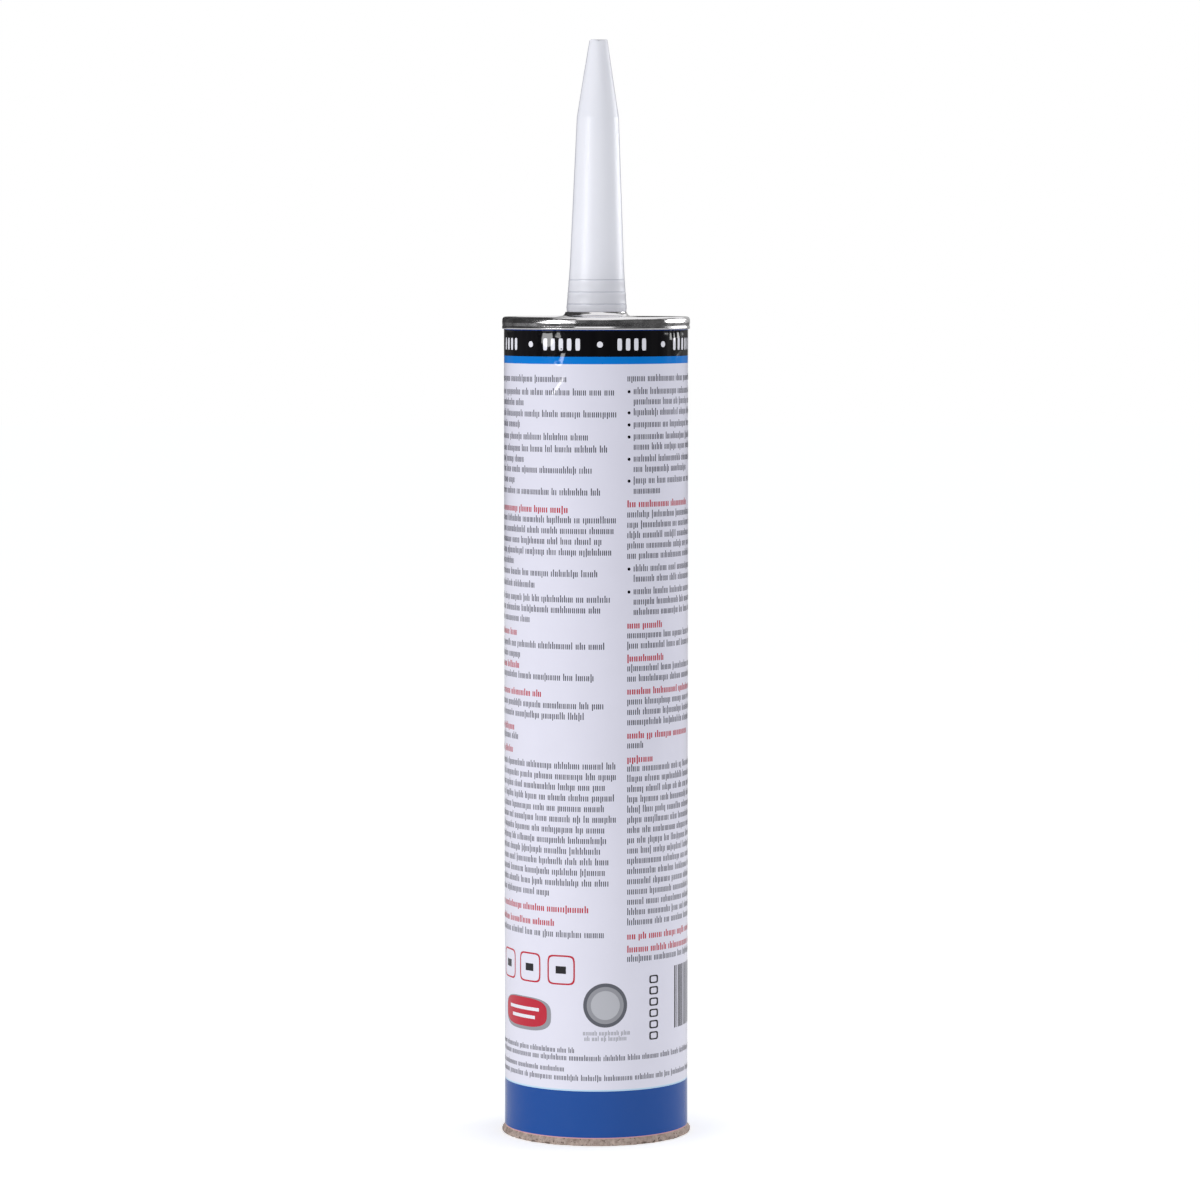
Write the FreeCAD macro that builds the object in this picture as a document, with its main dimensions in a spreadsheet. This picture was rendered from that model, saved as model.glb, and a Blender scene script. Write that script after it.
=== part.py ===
"""A sealant cartridge for a standard caulking gun, in millimetres.

The origin is the middle of the foot, on the surface that the tube stands on. +Z runs up the tube to
the tip of the nozzle. The front looks towards -Y, so the label's lap is at the back, towards +Y.
"""

import FreeCAD, Part
import math
import os
from collections import namedtuple

import Sketcher
from FreeCAD import Vector

# Driving sizes. Heights are above the foot unless the name says otherwise.
SIZES = {
    # Fibreboard tube, open at the foot
    "tube_bore": 46.9,
    "board_wall": 1.33,
    "rim_height": 221.2,
    "foot_flare": 0.95,
    "foot_flare_height": 1.7,
    "foot_edge_height": 0.6,
    "foot_edge_round": 0.4,
    "foot_blend": 0.8,
    "mouth_flare": 0.6,
    "mouth_edge_round": 0.25,
    # Paper label, wrapped once and lapped at the back
    "glue_line": 0.02,
    "label_paper": 0.09,
    "label_foot_gap": 0.2,
    "label_tuck": 1.8,
    "label_lap": 6.0,
    # Tinplate end, hooked over the tube's top edge
    "tinplate": 0.22,
    "seam_gap": 0.04,
    "seam_height": 3.0,
    "crown_round": 0.65,
    "sink_depth": 3.9,
    "sink_width": 2.25,
    "sink_round": 0.75,
    "step_run": 1.3,
    "panel_drop": 2.1,
    "panel_rise": 2.46,
    "panel_round": 0.8,
    "chimney_height": 1.4,
    "chimney_flare": 0.25,
    "chimney_round": 1.5,
    # Moulded nozzle, closed at its tip
    "nozzle_reach": 74.45,
    "nozzle_wall": 1.1,
    "tip_width": 4.8,
    "tip_taper": 20.75,
    "tip_round": 0.3,
    "tip_cap": 1.2,
    "shoulder_width": 11.3,
    "shoulder_round": 1.2,
    "root_width": 16.04,
    "root_top_width": 15.06,
    "root_rise": 3.55,
    "waist_width": 14.54,
    "waist_rise": 4.05,
    "waist_round": 8.0,
    "ring_pitch": 3.25,
    "ring_width": 1.1,
    "ring_proud": 0.08,
    "neck_width": 15.6,
    "neck_gap": 0.05,
    "flange_width": 23.0,
    "flange_wall": 1.6,
    "flange_gap": 0.05,
    "flange_round": 0.4,
    # Foil disc across the nozzle's inner end
    "seal_width": 21.0,
    "seal_foil": 0.1,
    # Plunger, a thin cup with two wiping lips
    "plunger_recess": 20.0,
    "plunger_height": 18.5,
    "skirt_gap": 0.75,
    "skirt_wall": 1.1,
    "lip_gap": 0.08,
    "lip_width": 1.1,
    "lip_ramp": 0.9,
    "lip_round": 0.3,
    "crown_wall": 1.4,
    "crown_rise": 1.3,
    "crown_boss_width": 20.0,
    "crown_edge_round": 0.9,
    "crown_blend": 2.0,
    "ram_ring_width": 26.0,
    "ram_ring_wall": 1.6,
    "ram_ring_height": 2.0,
    # Sealant, which fills what the others leave
    "fill_gap": 0.05,
}

# How many shallow rings the nozzle has near its root
RING_COUNT = 3

# Sizes that follow from the driving ones
WORKED_OUT = {
    "bore_radius": "tube_bore / 2",
    "tube_radius": "bore_radius + board_wall",
    "tube_top": "rim_height - tinplate - seam_gap",
    "tube_edge_round": "crown_round - tinplate - seam_gap",
    "label_bore": "tube_radius + glue_line",
    "label_radius": "label_bore + label_paper",
    "lap_radius": "label_radius + label_paper",
    "label_bottom": "foot_flare_height + label_foot_gap",
    "hook_bottom": "rim_height - seam_height",
    "label_top": "hook_bottom + label_tuck",
    "hook_radius": "lap_radius + seam_gap + tinplate",
    "chuck_radius": "bore_radius - seam_gap - tinplate",
    "sink_radius": "chuck_radius - sink_width",
    "sink_bottom": "rim_height - sink_depth",
    "neck_radius": "neck_width / 2",
    "chimney_radius": "neck_radius + neck_gap + tinplate",
    "chimney_top": "rim_height + chimney_height",
    "panel_edge_radius": "sink_radius - step_run",
    "panel_edge_level": "rim_height - panel_drop",
    "panel_top_radius": "chimney_radius + chimney_flare",
    "panel_top_level": "panel_edge_level + panel_rise",
    "panel_slope": "panel_rise / (panel_edge_radius - panel_top_radius)",
    "sheet_drop": "tinplate * sqrt(1 + panel_slope * panel_slope)",
    "flange_radius": "flange_width / 2",
    "flange_crown": "panel_top_level - sheet_drop - flange_gap",
    "flange_neck_level": "flange_crown + (panel_top_radius - neck_radius) * panel_slope",
    "flange_edge_level": "flange_crown - (flange_radius - panel_top_radius) * panel_slope",
    "flange_bottom": "flange_edge_level - flange_wall",
    "seal_bottom": "flange_bottom - seal_foil",
    "nozzle_top": "rim_height + nozzle_reach",
    "shoulder_level": "nozzle_top - tip_taper",
    "root_level": "rim_height + root_rise",
    "collar_bottom": "chimney_top + flange_gap",
    "skirt_radius": "bore_radius - skirt_gap",
    "cup_radius": "skirt_radius - skirt_wall",
    "lip_radius": "bore_radius - lip_gap",
    "crown_edge_level": "plunger_recess + plunger_height",
    "crown_boss_radius": "crown_boss_width / 2",
    "crown_top": "crown_edge_level + crown_rise",
    "fill_radius": "bore_radius - fill_gap",
    "sink_underside": "sink_bottom - tinplate - fill_gap",
    "fill_neck_radius": "panel_edge_radius - tinplate",
}

Corner = namedtuple("Corner", "name across up blend", defaults=[None])

doc = FreeCAD.newDocument("SealantCartridge")
size = doc.addObject("Spreadsheet::Sheet", "size")


def fill_size_sheet():
    """Write the driving sizes as plain numbers and the others as formulas, each with its alias."""
    cells = {name: str(value) for name, value in SIZES.items()}
    cells |= {name: "=" + formula for name, formula in WORKED_OUT.items()}
    for row, (name, content) in enumerate(cells.items(), start=1):
        size.set(f"A{row}", name)
        size.set(f"B{row}", content)
        size.setAlias(f"B{row}", name)
    doc.recompute()


def evaluate(expression):
    """Return the present value of an expression on the size sheet."""
    return float(size.evalExpression(expression))


def origin_plane(body, role):
    """Return one of a body's own origin planes, such as XY_Plane."""
    return next(plane for plane in body.Origin.OriginFeatures if plane.Role == role)


def rounded_turn(before, corner, after, radius):
    """Return where a round of this radius meets the runs at a corner, and its centre."""
    back = (before - corner).normalize()
    ahead = (after - corner).normalize()
    half_angle = back.getAngle(ahead) / 2
    reach = radius / math.tan(half_angle)
    centre = corner + (back + ahead).normalize() * (radius / math.sin(half_angle))
    return corner + back * reach, corner + ahead * reach, centre


def add_round(sketch, arrive, leave, centre, radius):
    """Add a corner's arc and return its number and the vertex numbers of its two ends."""
    start = math.atan2(arrive.y - centre.y, arrive.x - centre.x)
    sweep = math.atan2(leave.y - centre.y, leave.x - centre.x) - start
    sweep = (sweep + math.pi) % (2 * math.pi) - math.pi
    circle = Part.Circle(centre, Vector(0, 0, 1), radius)
    first, last = sorted((start, start + sweep))
    number = sketch.addGeometry(Part.ArcOfCircle(circle, first, last))
    return (number, 1, 2) if sweep > 0 else (number, 2, 1)


def fix_point(sketch, name, geometry, vertex, corner):
    """Hold a vertex at its corner's distance from the axis and its height above the foot."""
    for suffix, kind, axis, expression in (
        ("across", "DistanceX", -2, corner.across),
        ("up", "DistanceY", -1, corner.up),
    ):
        if expression == "0":
            sketch.addConstraint(Sketcher.Constraint("PointOnObject", geometry, vertex, axis))
            continue
        rule = Sketcher.Constraint(kind, -1, 1, geometry, vertex, evaluate(expression))
        number = sketch.addConstraint(rule)
        sketch.renameConstraint(number, f"{name}_{suffix}")
        sketch.setExpression(f"Constraints.{name}_{suffix}", expression)


def draw_outline(sketch, corners, closed=True):
    """Draw straight runs from corner to corner, with a tangent arc at each corner that has a blend."""
    count = len(corners)
    points = [Vector(evaluate(corner.across), evaluate(corner.up), 0) for corner in corners]
    turns = []
    for index, corner in enumerate(corners):
        if corner.blend is None:
            turns.append((points[index], points[index], None))
            continue
        before, after = points[index - 1], points[(index + 1) % count]
        turns.append(rounded_turn(before, points[index], after, evaluate(corner.blend)))

    runs = []
    for index in range(count if closed else count - 1):
        leave, arrive = turns[index][1], turns[(index + 1) % count][0]
        runs.append(sketch.addGeometry(Part.LineSegment(leave, arrive)))

    for index, corner in enumerate(corners):
        run_in = runs[index - 1] if closed or index else None
        run_out = runs[index] if index < len(runs) else None
        if corner.blend is None:
            if run_in is not None and run_out is not None:
                sketch.addConstraint(Sketcher.Constraint("Coincident", run_in, 2, run_out, 1))
            held = (run_out, 1) if run_out is not None else (run_in, 2)
            fix_point(sketch, corner.name, *held, corner)
            continue
        arrive, leave, centre = turns[index]
        radius = evaluate(corner.blend)
        arc, arc_in, arc_out = add_round(sketch, arrive, leave, centre, radius)
        sketch.addConstraint(Sketcher.Constraint("Tangent", run_in, 2, arc, arc_in))
        sketch.addConstraint(Sketcher.Constraint("Tangent", arc, arc_out, run_out, 1))
        rule = sketch.addConstraint(Sketcher.Constraint("Radius", arc, radius))
        sketch.renameConstraint(rule, f"{corner.name}_blend")
        sketch.setExpression(f"Constraints.{corner.name}_blend", corner.blend)
        peak = sketch.addGeometry(Part.Point(points[index]), True)
        sketch.addConstraint(Sketcher.Constraint("PointOnObject", peak, 1, run_in))
        sketch.addConstraint(Sketcher.Constraint("PointOnObject", peak, 1, run_out))
        fix_point(sketch, corner.name, peak, 1, corner)


def turned_body(label, corners):
    """Make a body by turning a closed outline, right of the axis, once round +Z."""
    body = doc.addObject("PartDesign::Body", label)
    sketch = body.newObject("Sketcher::SketchObject", f"{label}_outline")
    sketch.AttachmentSupport = (origin_plane(body, "XZ_Plane"), "")
    sketch.MapMode = "FlatFace"
    draw_outline(sketch, corners)
    turned = body.newObject("PartDesign::Revolution", f"{label}_turned")
    turned.Profile = sketch
    turned.ReferenceAxis = (sketch, ["V_Axis"])
    turned.Angle = 360
    body.Label = label
    return body


def make_fibre_tube():
    """The wound board tube: rounded under the seam, flared outside and inside at its foot."""
    return turned_body("fibre_tube", [
        Corner("foot_edge", "size.tube_radius + size.foot_flare", "0", "size.foot_edge_round"),
        Corner("foot_flare", "size.tube_radius + size.foot_flare", "size.foot_edge_height",
               "size.foot_edge_round"),
        Corner("flare_root", "size.tube_radius", "size.foot_flare_height", "size.foot_blend"),
        Corner("top_outside", "size.tube_radius", "size.tube_top", "size.tube_edge_round"),
        Corner("top_inside", "size.bore_radius", "size.tube_top", "size.tube_edge_round"),
        Corner("mouth_root", "size.bore_radius", "size.foot_flare_height", "size.foot_blend"),
        Corner("mouth_edge", "size.bore_radius + size.mouth_flare", "0", "size.mouth_edge_round"),
    ])


def make_label_wrap():
    """The paper label: one turn round the tube, with a second layer where its ends lap."""
    body = doc.addObject("PartDesign::Body", "label_wrap")
    add_label_layer(body, "turn", "size.label_bore", "size.label_radius")
    middle_of_paper = "size.label_radius - size.label_paper / 2"
    add_label_layer(body, "lap", middle_of_paper, "size.lap_radius", "size.label_lap")
    body.Label = "label_wrap"
    return body


def add_label_layer(body, name, inside, outside, width=None):
    """Pad a ring of paper up the label's height, or a strip of it at the back if it has a width."""
    sketch = body.newObject("Sketcher::SketchObject", f"label_{name}_outline")
    sketch.AttachmentSupport = (origin_plane(body, "XY_Plane"), "")
    sketch.MapMode = "FlatFace"
    sketch.setExpression("AttachmentOffset.Base.z", "size.label_bottom")
    radii = {"inside": inside, "outside": outside}
    numbers = []
    for side, expression in radii.items():
        circle = Part.Circle(Vector(0, 0, 0), Vector(0, 0, 1), evaluate(expression))
        if width is None:
            edge = circle
        else:
            half_angle = evaluate(width) / 2 / evaluate(outside)
            edge = Part.ArcOfCircle(circle, math.pi / 2 - half_angle, math.pi / 2 + half_angle)
        number = sketch.addGeometry(edge)
        numbers.append(number)
        sketch.addConstraint(Sketcher.Constraint("Coincident", number, 3, -1, 1))
        rule = sketch.addConstraint(Sketcher.Constraint("Radius", number, evaluate(expression)))
        sketch.renameConstraint(rule, f"{side}_radius")
        sketch.setExpression(f"Constraints.{side}_radius", expression)
    if width is not None:
        close_lap_strip(sketch, *numbers, width)
    layer = body.newObject("PartDesign::Pad", f"label_{name}")
    layer.Profile = sketch
    layer.setExpression("Length", "size.label_top - size.label_bottom")


def close_lap_strip(sketch, inner_arc, outer_arc, width):
    """Join the ends of the lap's two arcs by straight cuts, square to the paper's width."""
    arcs = (inner_arc, outer_arc)
    for vertex in (1, 2):
        ends = [sketch.getPoint(arc, vertex) for arc in arcs]
        cut = sketch.addGeometry(Part.LineSegment(*ends))
        for arc, side in zip(arcs, (1, 2)):
            sketch.addConstraint(Sketcher.Constraint("Coincident", arc, vertex, cut, side))
        sketch.addConstraint(Sketcher.Constraint("Vertical", cut))
    sketch.addConstraint(Sketcher.Constraint("Symmetric", outer_arc, 1, outer_arc, 2, -2))
    rule = Sketcher.Constraint("DistanceX", outer_arc, 2, outer_arc, 1, evaluate(width))
    number = sketch.addConstraint(rule)
    sketch.renameConstraint(number, "lap_width")
    sketch.setExpression("Constraints.lap_width", width)


def make_metal_end():
    """The tinplate end: one sheet that runs from the hook over the crown to the chimney's lip."""
    path = doc.addObject("Sketcher::SketchObject", "metal_end_path")
    path.Placement = FreeCAD.Placement(Vector(), FreeCAD.Rotation(Vector(1, 0, 0), 90))
    draw_outline(path, [
        Corner("hook_lip", "size.hook_radius", "size.hook_bottom"),
        Corner("crown_outside", "size.hook_radius", "size.rim_height", "size.crown_round"),
        Corner("crown_inside", "size.chuck_radius", "size.rim_height", "size.crown_round"),
        Corner("sink_outside", "size.chuck_radius", "size.sink_bottom", "size.sink_round"),
        Corner("sink_inside", "size.sink_radius", "size.sink_bottom", "size.sink_round"),
        Corner("panel_edge", "size.panel_edge_radius", "size.panel_edge_level", "size.panel_round"),
        Corner("panel_top", "size.panel_top_radius", "size.panel_top_level", "size.chimney_round"),
        Corner("chimney_lip", "size.chimney_radius", "size.chimney_top"),
    ], closed=False)
    section = doc.addObject("Part::Offset2D", "metal_end_section")
    section.Source = path
    section.Mode = "Skin"
    section.Fill = True
    section.setExpression("Value", "size.tinplate")
    metal_end = doc.addObject("Part::Revolution", "metal_end")
    metal_end.Source = section
    metal_end.Axis = Vector(0, 0, 1)
    metal_end.Angle = 360
    metal_end.Solid = True
    metal_end.Label = "metal_end"
    return metal_end


def ring_corners():
    """The nozzle's shallow rings, from the top one down, on the short taper above its root."""
    taper_height = f"({RING_COUNT - 1} * size.ring_pitch)"
    flare = "(size.root_width - size.root_top_width) / 2"
    corners = []
    for index in range(RING_COUNT):
        share = f"{index} / {RING_COUNT - 1}"
        surface = f"size.root_top_width / 2 + {flare} * {share}"
        top = f"size.root_level + {taper_height} - {index} * size.ring_pitch"
        bottom = f"{top} - size.ring_width"
        crest = f"{surface} + size.ring_proud"
        corners += [
            Corner(f"ring_{index}_above", surface, f"{top} + size.ring_proud"),
            Corner(f"ring_{index}_crest", crest, top),
            Corner(f"ring_{index}_edge", crest, bottom),
            Corner(f"ring_{index}_below", surface, f"{bottom} - size.ring_proud"),
        ]
    return corners


def make_nozzle():
    """The hollow nozzle: closed tip, two tapers, rings, and a neck and flange that grip the sheet."""
    wall = "size.nozzle_wall"
    root_top = f"size.root_level + {RING_COUNT - 1} * size.ring_pitch"
    waist = f"{root_top} + size.waist_rise"
    outside = [
        Corner("cap_middle", "0", "size.nozzle_top"),
        Corner("tip_edge", "size.tip_width / 2", "size.nozzle_top", "size.tip_round"),
        Corner("shoulder", "size.shoulder_width / 2", "size.shoulder_level", "size.shoulder_round"),
        Corner("waist", "size.waist_width / 2", waist, "size.waist_round"),
        *ring_corners(),
        Corner("collar", "size.root_width / 2", "size.collar_bottom"),
        Corner("neck_top", "size.neck_radius", "size.collar_bottom"),
        Corner("neck_foot", "size.neck_radius", "size.flange_neck_level"),
        Corner("flange_edge", "size.flange_radius", "size.flange_edge_level"),
        Corner("flange_rim", "size.flange_radius", "size.flange_bottom", "size.flange_round"),
    ]
    inside = [
        Corner("channel_mouth", f"size.neck_radius - {wall}", "size.flange_bottom"),
        Corner("channel_root", f"size.neck_radius - {wall}", "size.root_level"),
        Corner("channel_taper", f"size.root_top_width / 2 - {wall}", root_top),
        Corner("channel_waist", f"size.waist_width / 2 - {wall}", waist),
        Corner("channel_shoulder", f"size.shoulder_width / 2 - {wall}", "size.shoulder_level"),
        Corner("channel_tip", f"size.tip_width / 2 - {wall}", "size.nozzle_top - size.tip_cap"),
        Corner("channel_end", "0", "size.nozzle_top - size.tip_cap"),
    ]
    return turned_body("nozzle", outside + inside)


def make_inner_seal():
    """The foil disc stuck across the underside of the nozzle's flange."""
    return turned_body("inner_seal", [
        Corner("top_middle", "0", "size.flange_bottom"),
        Corner("top_edge", "size.seal_width / 2", "size.flange_bottom"),
        Corner("bottom_edge", "size.seal_width / 2", "size.seal_bottom"),
        Corner("bottom_middle", "0", "size.seal_bottom"),
    ])


def make_plunger():
    """The plunger: a thin cup, crown up, with a wiping lip at each end of its skirt."""
    crown_slope = "size.crown_rise / (size.skirt_radius - size.crown_boss_radius)"
    foot = "size.plunger_recess"
    edge = "size.crown_edge_level"
    ring = "size.ram_ring_width / 2"
    underside = "(size.crown_top - size.crown_wall)"
    ring_drop = f"(size.cup_radius - {ring}) * {crown_slope}"
    return turned_body("plunger", [
        Corner("crown_middle", "0", "size.crown_top"),
        Corner("crown_boss", "size.crown_boss_radius", "size.crown_top", "size.crown_blend"),
        Corner("crown_edge", "size.lip_radius", edge, "size.lip_round"),
        Corner("top_lip", "size.lip_radius", f"{edge} - size.lip_width", "size.lip_round"),
        Corner("top_lip_root", "size.skirt_radius", f"{edge} - size.lip_width - size.lip_ramp"),
        Corner("low_lip_root", "size.skirt_radius", f"{foot} + size.lip_width + size.lip_ramp"),
        Corner("low_lip", "size.lip_radius", f"{foot} + size.lip_width", "size.lip_round"),
        Corner("low_lip_edge", "size.lip_radius", foot, "size.lip_round"),
        Corner("skirt_mouth", "size.cup_radius", foot, "size.lip_round"),
        Corner("cup_corner", "size.cup_radius",
               f"{edge} - size.crown_wall", "size.crown_edge_round"),
        Corner("ring_outside", ring, f"{edge} - size.crown_wall + {ring_drop}"),
        Corner("ring_outside_foot", ring,
               f"{underside} - size.ram_ring_height", "size.lip_round"),
        Corner("ring_inside_foot", f"{ring} - size.ram_ring_wall",
               f"{underside} - size.ram_ring_height", "size.lip_round"),
        Corner("ring_inside", f"{ring} - size.ram_ring_wall", underside),
        Corner("underside_middle", "0", underside),
    ])


def make_sealant():
    """The sealant: it fills the bore from the plunger's crown to the metal end and the seal."""
    gap = "size.fill_gap"
    return turned_body("sealant", [
        Corner("bottom_middle", "0", f"size.crown_top + {gap}"),
        Corner("boss_edge", "size.crown_boss_radius", f"size.crown_top + {gap}",
               "size.crown_blend"),
        Corner("bottom_edge", "size.fill_radius", f"size.crown_edge_level + {gap}"),
        Corner("shoulder_edge", "size.fill_radius", "size.sink_underside"),
        Corner("shoulder_root", "size.fill_neck_radius", "size.sink_underside"),
        Corner("top_edge", "size.fill_neck_radius", f"size.seal_bottom - {gap}"),
        Corner("top_middle", "0", f"size.seal_bottom - {gap}"),
    ])


def check_and_export(pieces):
    """Stop on any failed object or bad solid, then write each piece to its own file."""
    doc.recompute()
    for item in doc.Objects:
        if {"Invalid", "Error"} & set(item.State):
            raise RuntimeError(f"{item.Label} failed: {item.State}")
    for piece in pieces:
        shape = piece.Shape
        if shape.isNull() or not shape.isValid() or not shape.Solids:
            raise RuntimeError(f"{piece.Label} has no valid solid")
    os.makedirs("parts", exist_ok=True)
    for piece in pieces:
        piece.Shape.exportStep(f"parts/{piece.Label}.step")


fill_size_sheet()
check_and_export([
    make_fibre_tube(),
    make_label_wrap(),
    make_metal_end(),
    make_nozzle(),
    make_inner_seal(),
    make_sealant(),
    make_plunger(),
])
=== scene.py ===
import math
import random
from collections import namedtuple

import bmesh
import bpy
import numpy as np
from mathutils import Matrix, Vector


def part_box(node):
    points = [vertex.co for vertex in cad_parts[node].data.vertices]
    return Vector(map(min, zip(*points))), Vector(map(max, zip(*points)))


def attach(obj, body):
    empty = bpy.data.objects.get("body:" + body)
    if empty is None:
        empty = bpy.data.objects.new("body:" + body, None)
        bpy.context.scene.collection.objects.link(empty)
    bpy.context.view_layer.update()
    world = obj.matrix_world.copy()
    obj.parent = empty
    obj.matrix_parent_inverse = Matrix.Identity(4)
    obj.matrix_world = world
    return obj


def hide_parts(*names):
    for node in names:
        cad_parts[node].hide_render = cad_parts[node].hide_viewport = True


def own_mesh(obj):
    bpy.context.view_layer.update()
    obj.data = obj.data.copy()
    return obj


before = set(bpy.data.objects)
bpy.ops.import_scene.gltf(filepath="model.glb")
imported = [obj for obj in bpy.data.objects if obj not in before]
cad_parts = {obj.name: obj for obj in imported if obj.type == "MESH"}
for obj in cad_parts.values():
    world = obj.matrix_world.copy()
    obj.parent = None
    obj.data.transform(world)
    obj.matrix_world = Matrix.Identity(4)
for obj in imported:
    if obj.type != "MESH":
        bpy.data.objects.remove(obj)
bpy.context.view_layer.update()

# Looks of a sealant cartridge: its printed label, seamed end, nozzle, board, plunger and fill.
# Lengths are millimetres and angles are degrees until a mesh is made. An arc is a length along
# the label's face, measured from the middle of the front towards +X.

MM = 0.001


def box_mm(node):
    """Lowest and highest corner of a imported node, in millimetres."""
    lo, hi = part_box(node)
    return lo / MM, hi / MM


label_lo, label_hi = box_mm("label_wrap")
board_hi = box_mm("fibre_tube")[1]
end_hi = box_mm("metal_end")[1]
nozzle_lo, nozzle_hi = box_mm("nozzle")
fill_lo, fill_hi = box_mm("sealant")

# Label
LABEL_RADIUS = 24.88
LABEL_INSIDE = 24.80
LABEL_FOOT = label_lo.z
LABEL_TOP = label_hi.z
HALF_GIRTH = math.pi * LABEL_RADIUS
LAP_HALF_WIDTH = 3.0
LAP_RISE = label_hi.y - LABEL_RADIUS
PAPER_THICKNESS = 0.07
PRINT_LIFT = 0.02

# Levels at which the printed bands change colour, from the foot up
CUT_EDGE_TOP = LABEL_FOOT + 0.25
BLUE_BAND_TOP = 14.7
PALE_LINE_TOP = 15.1
STRIPE_FOOT = 209.0
BLACK_BAND_FOOT = 210.95
BLACK_BAND_TOP = 217.85

# Seamed end
HOOK_FOOT = 218.2
CROWN_TOP = 221.2
HOOK_RADIUS = end_hi.x
CHUCK_RADIUS = 23.19
SINK_LEVEL = 217.3
SINK_INSIDE_RADIUS = 20.94
PANEL_EDGE = (19.64, 219.1)
CHIMNEY_FOOT = (8.32, 221.56)
CHIMNEY_LIP = (8.07, 222.6)
SHEET = 0.22

SEGMENTS = 288


def srgb(red, green, blue):
    """Linear colour from 8-bit display values."""
    def linear(value):
        value = value / 255
        return value / 12.92 if value <= 0.04045 else ((value + 0.055) / 1.055) ** 2.4
    return linear(red), linear(green), linear(blue), 1.0


def smooth_step(low, high, value):
    """0 below low, 1 above high and an eased run between."""
    share = np.clip((value - low) / (high - low), 0.0, 1.0)
    return share * share * (3.0 - 2.0 * share)


# Mesh helpers

def make_mesh(name, vertices, faces, slots=None, uvs=None, sharp=32.0):
    """Mesh object at the origin from vertices in millimetres, smooth apart from sharp edges."""
    mesh = bpy.data.meshes.new(name)
    mesh.from_pydata((np.asarray(vertices) * MM).tolist(), [], faces)
    if slots is not None:
        mesh.polygons.foreach_set("material_index", slots)
    if uvs is not None:
        layer = mesh.uv_layers.new(name="UVMap")
        layer.data.foreach_set("uv", np.asarray(uvs, dtype=np.float32).ravel())
    work = bmesh.new()
    work.from_mesh(mesh)
    bmesh.ops.remove_doubles(work, verts=work.verts, dist=1e-7)
    work.to_mesh(mesh)
    work.free()
    mesh.shade_smooth()
    mesh.set_sharp_from_angle(angle=math.radians(sharp))
    piece = bpy.data.objects.new(name, mesh)
    bpy.context.scene.collection.objects.link(piece)
    return piece


def dress(piece, body, materials, replaced=()):
    """Ride a piece on its body, give it materials and hide the imported parts it replaces."""
    for material in materials:
        piece.data.materials.append(material)
    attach(piece, body)
    if replaced:
        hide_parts(*replaced)
    return piece


def rounded(corners, closed=True, steps=7):
    """Outline points from (radius, height, round) corners, each round drawn as an arc."""
    points = []
    last = len(corners) - 1
    for number, (radius, height, bend) in enumerate(corners):
        here = np.array((radius, height))
        if bend == 0 or (not closed and number in (0, last)):
            points.append(here)
            continue
        before = np.array(corners[number - 1][:2]) - here
        after = np.array(corners[(number + 1) % len(corners)][:2]) - here
        before = before / np.linalg.norm(before)
        after = after / np.linalg.norm(after)
        half = math.acos(np.clip(np.dot(before, after), -1.0, 1.0)) / 2
        middle = before + after
        centre = here + middle / np.linalg.norm(middle) * bend / math.sin(half)
        start = here + before * bend / math.tan(half) - centre
        turn = math.pi - 2 * half
        side = math.copysign(1.0, before[0] * after[1] - before[1] * after[0])
        for step in range(steps + 1):
            angle = -side * turn * step / steps
            cos, sin = math.cos(angle), math.sin(angle)
            points.append(centre + (start[0] * cos - start[1] * sin, start[0] * sin + start[1] * cos))
    return np.array(points)


def thickened(path, thickness):
    """Closed outline of a sheet: the path, and back along it on its right-hand side."""
    run = np.gradient(path, axis=0)
    run /= np.linalg.norm(run, axis=1)[:, None]
    inside = path + np.column_stack((run[:, 1], -run[:, 0])) * thickness
    return np.concatenate((path, inside[::-1]))


def spin(name, outline, warp=None, bands=None, closed=True, segments=SEGMENTS, sharp=32.0):
    """Turn an outline of (radius, height) points round the axis, with its seam at the back.

    warp(radius, angle, height) returns moved radii and heights. bands(height of a face's
    middle, radius of it) gives the face's material number.
    """
    outline = np.asarray(outline, dtype=float)
    if closed:
        outline = np.vstack((outline, outline[:1]))
    angles = np.linspace(-math.pi, math.pi, segments + 1)
    radius, angle = np.meshgrid(outline[:, 0], angles, indexing="ij")
    height = np.meshgrid(outline[:, 1], angles, indexing="ij")[0]
    if warp is not None:
        radius, height = warp(radius, angle, height)
    grid = np.stack((radius * np.sin(angle), -radius * np.cos(angle), height), axis=-1)
    rows, columns = len(outline), segments + 1
    index = np.arange(rows * columns).reshape(rows, columns)
    quads = np.stack((index[:-1, :-1], index[:-1, 1:], index[1:, 1:], index[1:, :-1]), axis=-1)
    quads = quads.reshape(-1, 4)
    run = np.concatenate(([0.0], np.cumsum(np.linalg.norm(np.diff(outline, axis=0), axis=1))))
    across, along = np.meshgrid(run / 100, (angles / math.pi + 1) / 2, indexing="ij")
    uv = np.stack((along, across), axis=-1).reshape(-1, 2)
    slots = None
    if bands is not None:
        middle = (outline[:-1] + outline[1:]) / 2
        slots = np.repeat([bands(level, reach) for reach, level in middle], segments)
    piece = make_mesh(name, grid.reshape(-1, 3), quads.tolist(), slots, uv[quads.ravel()], sharp)
    face_outward(piece)
    return piece


def face_outward(piece):
    """Point every face of a closed mesh outward."""
    work = bmesh.new()
    work.from_mesh(piece.data)
    bmesh.ops.recalc_face_normals(work, faces=work.faces)
    work.to_mesh(piece.data)
    work.free()


# Material helpers

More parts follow.
